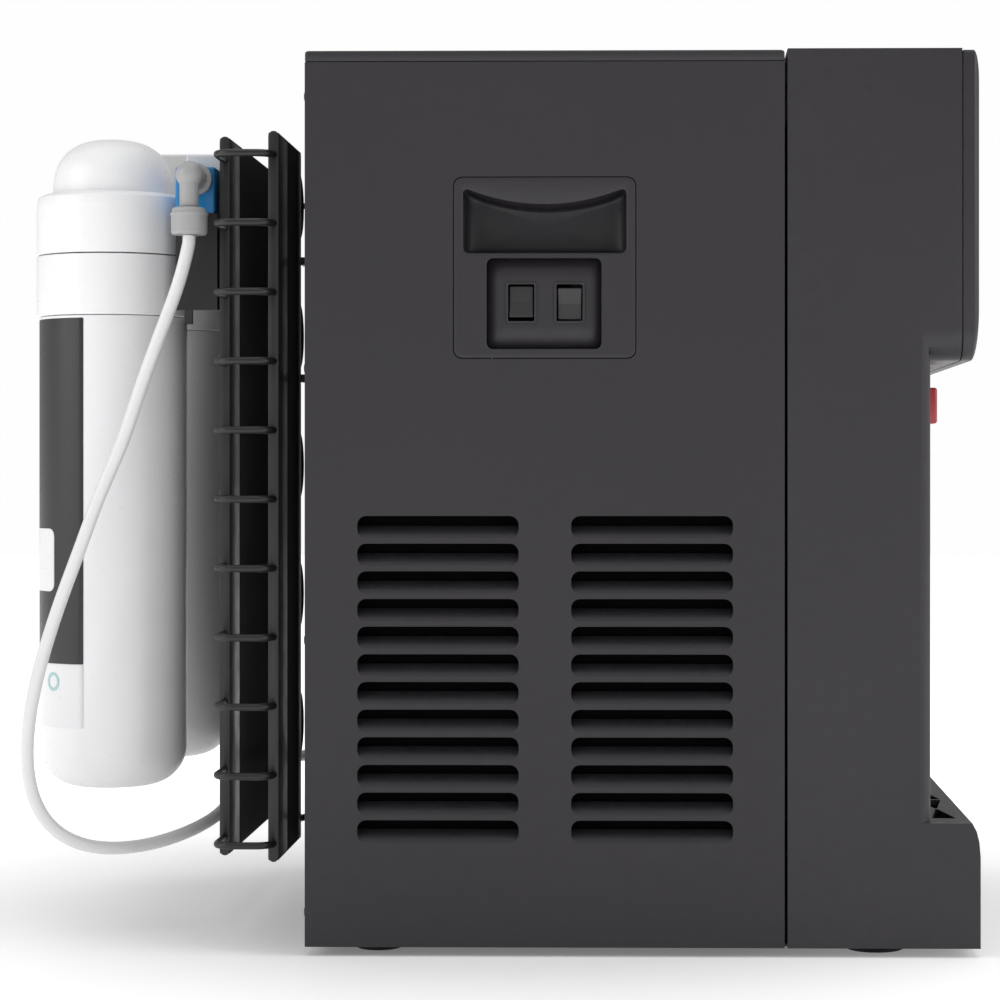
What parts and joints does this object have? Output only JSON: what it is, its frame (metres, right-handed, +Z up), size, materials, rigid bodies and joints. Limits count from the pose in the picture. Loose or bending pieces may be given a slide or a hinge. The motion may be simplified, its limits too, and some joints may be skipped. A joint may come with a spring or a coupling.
{
  "type": "countertop water dispenser",
  "caption": "Countertop water dispenser: black cabinet with a front cup bay, push levers and drip tray, and a rear condenser with white cartridge filters and a hose.",
  "frame": {"origin": "bottom centre of the unit's box without the hose, on the worktop", "axes": "+X to the front of the unit, +Y to the right side of a person before it, +Z up"},
  "size_m": [0.467, 0.305, 0.432],
  "materials": {
    "black_plastic": "fine moulded texture, satin",
    "black_metal": "satin black paint",
    "rocker_black": "satin",
    "grey_plastic": "satin grey moulding",
    "white_plastic": "glossy white moulding",
    "blue_plastic": "satin blue moulding",
    "red_plastic": "satin red moulding",
    "dark_glass": "glossy dark window",
    "rubber": "matt",
    "steel": "drawn stainless steel",
    "copper": "drawn copper",
    "foam": "rigid foam",
    "board_green": "circuit board",
    "hose_white": "smooth white tube"
  },
  "bodies": {
    "cabinet": {"base_pan": "black_metal", "cold_spout": "grey_plastic", "cold_tank": "steel", "cold_tank_foam": "foam", "cold_valve": "white_plastic", "compressor": "black_metal", "condenser_tube": "black_metal", "control_board": "board_green", "control_fascia": "black_plastic", "drain_plug": "grey_plastic", "elbow_nut": "grey_plastic", "evaporator_coil": "copper", "far_filter_head": "white_plastic", "filter_bracket": "black_plastic", "filter_dryer": "copper", "filter_manifold": "white_plastic", "front_housing": "black_plastic", "front_left_foot": "rubber", "front_right_foot": "rubber", "hot_spout": "grey_plastic", "hot_tank": "steel", "hot_valve": "white_plastic", "indicator_window": "dark_glass", "inlet_fitting": "grey_plastic", "inner_front_wires": "black_metal", "inner_rear_wires": "black_metal", "left_handle_insert": "black_plastic", "left_side_panel": "black_plastic", "lever_pivot_rod": "steel", "lower_condenser_standoff": "black_metal", "near_filter_head": "white_plastic", "outer_front_wires": "black_metal", "outer_rear_wires": "black_metal", "outlet_elbow": "grey_plastic", "port_block": "blue_plastic", "power_inlet": "grey_plastic", "rear_left_foot": "rubber", "rear_panel": "black_metal", "rear_right_foot": "rubber", "right_handle_insert": "black_plastic", "right_side_panel": "black_plastic", "room_spout": "grey_plastic", "room_valve": "white_plastic", "tap_bracket": "black_metal", "top_cover": "black_plastic", "upper_condenser_standoff": "black_metal", "water_hose": "hose_white"},
    "near_ring": {"near_filter_ring": "white_plastic"},
    "near_cartridge": {"near_filter_cartridge": "white_plastic"},
    "far_ring": {"far_filter_ring": "white_plastic"},
    "far_cartridge": {"far_filter_cartridge": "white_plastic"},
    "hot_lever": {"hot_lever": "black_plastic"},
    "hot_slide": {"hot_safety_slide": "red_plastic"},
    "room_lever": {"room_lever": "black_plastic"},
    "cold_lever": {"cold_lever": "black_plastic"},
    "heating_rocker": {"heating_switch": "rocker_black"},
    "cooling_rocker": {"cooling_switch": "rocker_black"},
    "drip_tray": {"drip_tray": "black_plastic"},
    "drip_grille": {"drip_grille": "black_plastic"}
  },
  "joints": [
    {"name": "near_ring_twist", "type": "hinge", "parent": "cabinet", "child": "near_ring", "pos_m": [-0.195, -0.0717, 0.324], "axis": [0, 0, 1], "range_deg": [0, 60]},
    {"name": "near_cartridge_drop", "type": "slide", "parent": "near_ring", "child": "near_cartridge", "axis": [0, 0, -1], "range_m": [0, 0.028]},
    {"name": "far_ring_twist", "type": "hinge", "parent": "cabinet", "child": "far_ring", "pos_m": [-0.195, 0.0718, 0.324], "axis": [0, 0, 1], "range_deg": [0, 60]},
    {"name": "far_cartridge_drop", "type": "slide", "parent": "far_ring", "child": "far_cartridge", "axis": [0, 0, -1], "range_m": [0, 0.028]},
    {"name": "hot_lever_press", "type": "hinge", "parent": "cabinet", "child": "hot_lever", "pos_m": [0.205, -0.07, 0.294], "axis": [0, 1, 0], "range_deg": [0, 10], "stiffness_Nm_per_rad": 0.4, "springref_deg": -5.73},
    {"name": "room_lever_press", "type": "hinge", "parent": "cabinet", "child": "room_lever", "pos_m": [0.205, 0, 0.294], "axis": [0, 1, 0], "range_deg": [0, 10], "stiffness_Nm_per_rad": 0.4, "springref_deg": -5.73},
    {"name": "cold_lever_press", "type": "hinge", "parent": "cabinet", "child": "cold_lever", "pos_m": [0.205, 0.07, 0.294], "axis": [0, 1, 0], "range_deg": [0, 10], "stiffness_Nm_per_rad": 0.4, "springref_deg": -5.73},
    {"name": "hot_slide_unlock", "type": "slide", "parent": "hot_lever", "child": "hot_slide", "axis": [0, 0, -1], "range_m": [0, 0.003], "stiffness_N_per_m": 200, "springref_m": -0.002},
    {"name": "heating_switch_rock", "type": "hinge", "parent": "cabinet", "child": "heating_rocker", "pos_m": [0.0154, -0.144, 0.3115], "axis": [1, 0, 0], "range_deg": [0, 14]},
    {"name": "cooling_switch_rock", "type": "hinge", "parent": "cabinet", "child": "cooling_rocker", "pos_m": [0.0385, -0.144, 0.3115], "axis": [1, 0, 0], "range_deg": [-14, 0]},
    {"name": "drip_tray_lift", "type": "slide", "parent": "cabinet", "child": "drip_tray", "axis": [0, 0, 1], "range_m": [0, 0.05]},
    {"name": "drip_grille_lift", "type": "slide", "parent": "drip_tray", "child": "drip_grille", "axis": [0, 0, 1], "range_m": [0, 0.04]}
  ]
}
